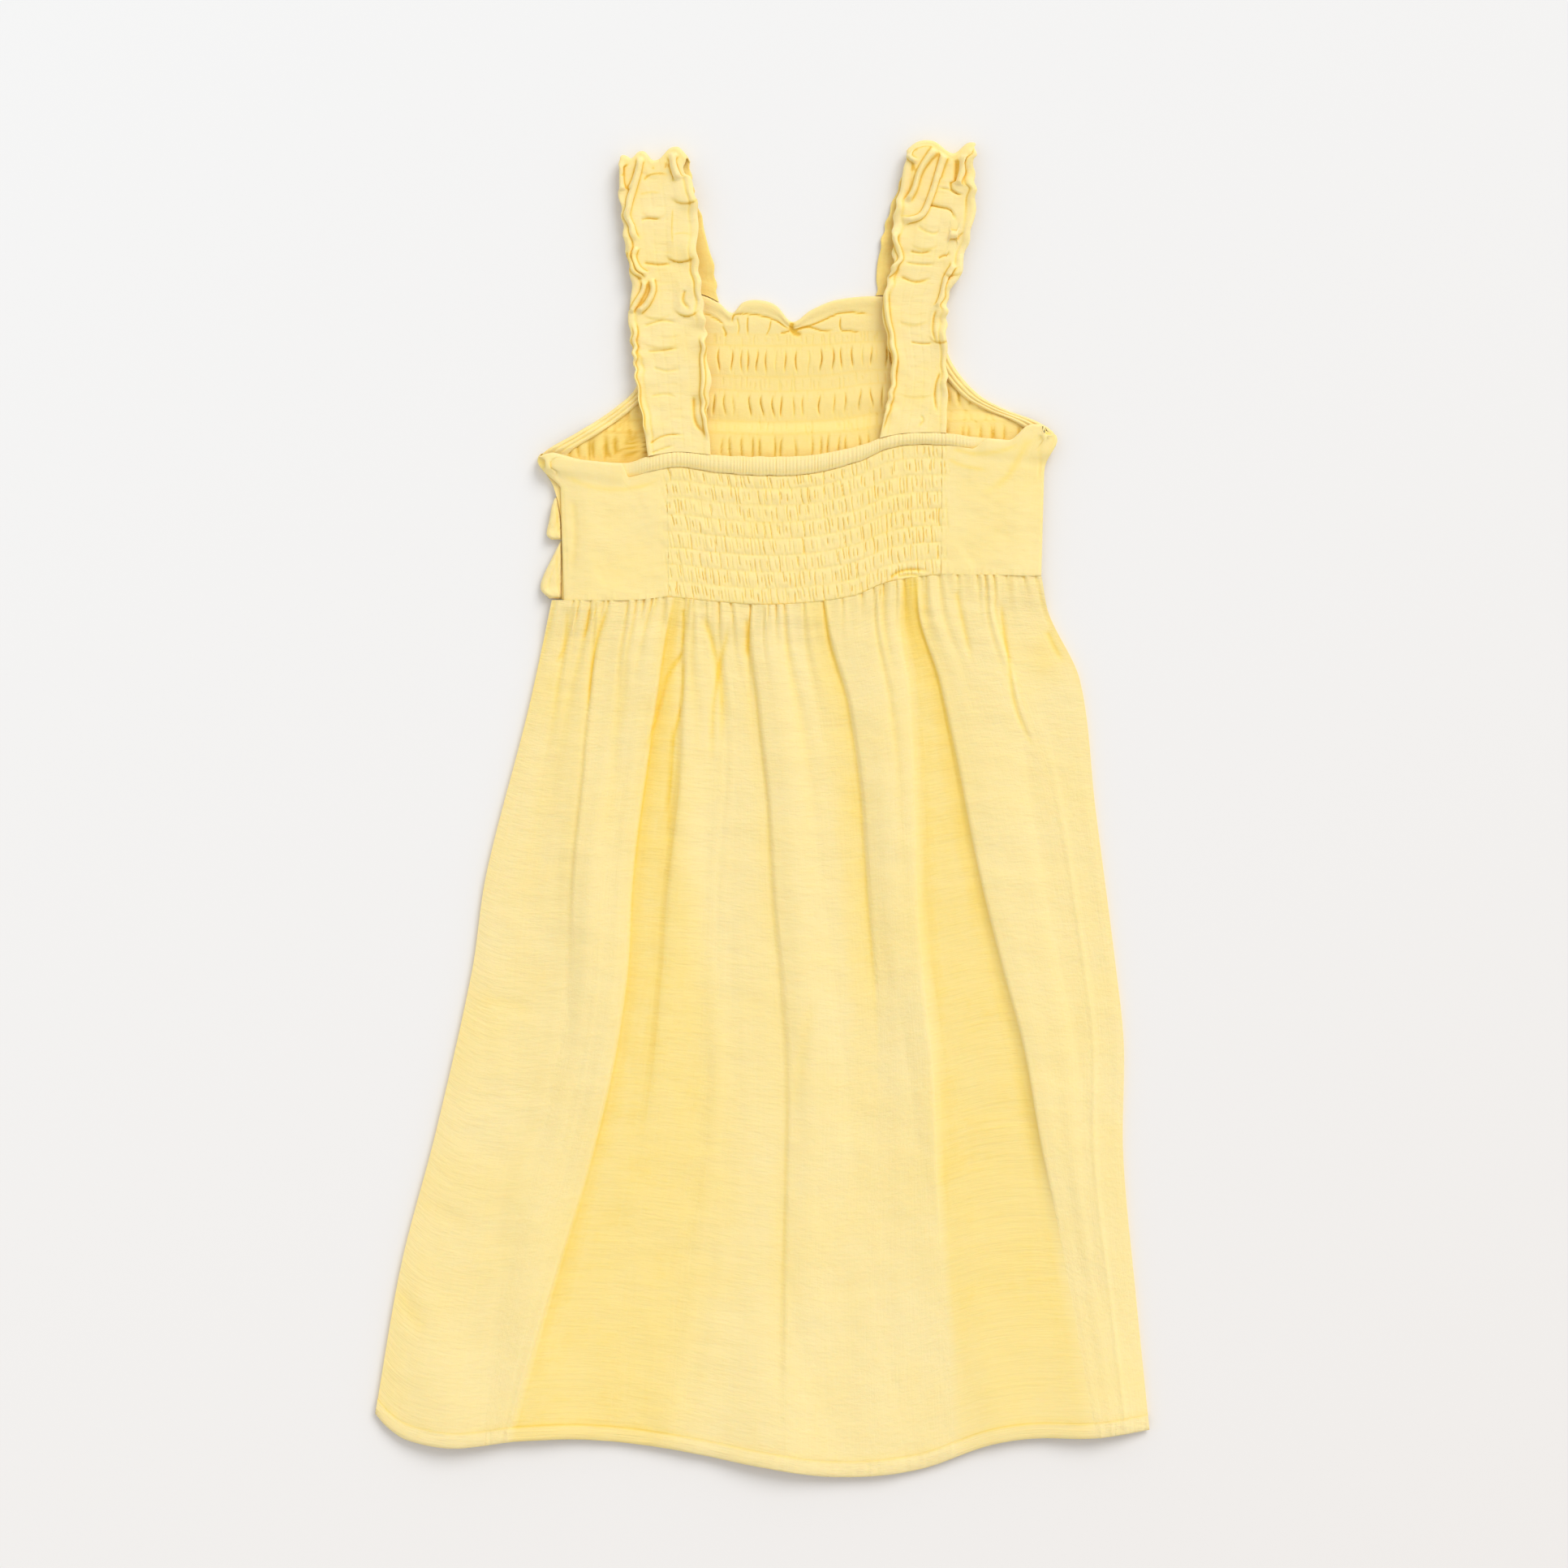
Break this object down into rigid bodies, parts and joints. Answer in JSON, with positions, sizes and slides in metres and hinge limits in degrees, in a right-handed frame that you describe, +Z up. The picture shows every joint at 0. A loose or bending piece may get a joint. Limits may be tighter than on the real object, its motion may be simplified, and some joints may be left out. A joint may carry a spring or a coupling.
{
  "type": "smocked dress",
  "caption": "Child's sleeveless dress in crinkled gauze, laid flat with its back up: shirred back panel, elastic casing, ruffled straps and a gathered skirt.",
  "frame": {"origin": "on the surface that the dress lies on, under the middle of its outline", "axes": "+X across the dress to the right as it lies with its back up, +Y from the hem towards the shoulders, +Z up from the surface"},
  "size_m": [0.401, 0.6924, 0.011],
  "materials": {
    "gauze": "matt crinkled double gauze, pale yellow",
    "gauze_shirred": "matt double gauze gathered on elastic thread, pale yellow",
    "gauze_inside": "inside face of the matt double gauze, pale yellow"
  },
  "bodies": {
    "root": {"skirt_front": "gauze", "skirt_back": "gauze", "front_ruffle_upper": "gauze", "front_ruffle_middle": "gauze", "front_ruffle_lower": "gauze", "bodice_front": "gauze_inside", "armhole_binding_left": "gauze", "armhole_binding_right": "gauze", "bodice_back_centre": "gauze_shirred", "bodice_back_side_left": "gauze", "bodice_back_side_right": "gauze", "back_casing": "gauze_shirred", "strap_left": "gauze", "strap_right": "gauze"}
  },
  "joints": []
}
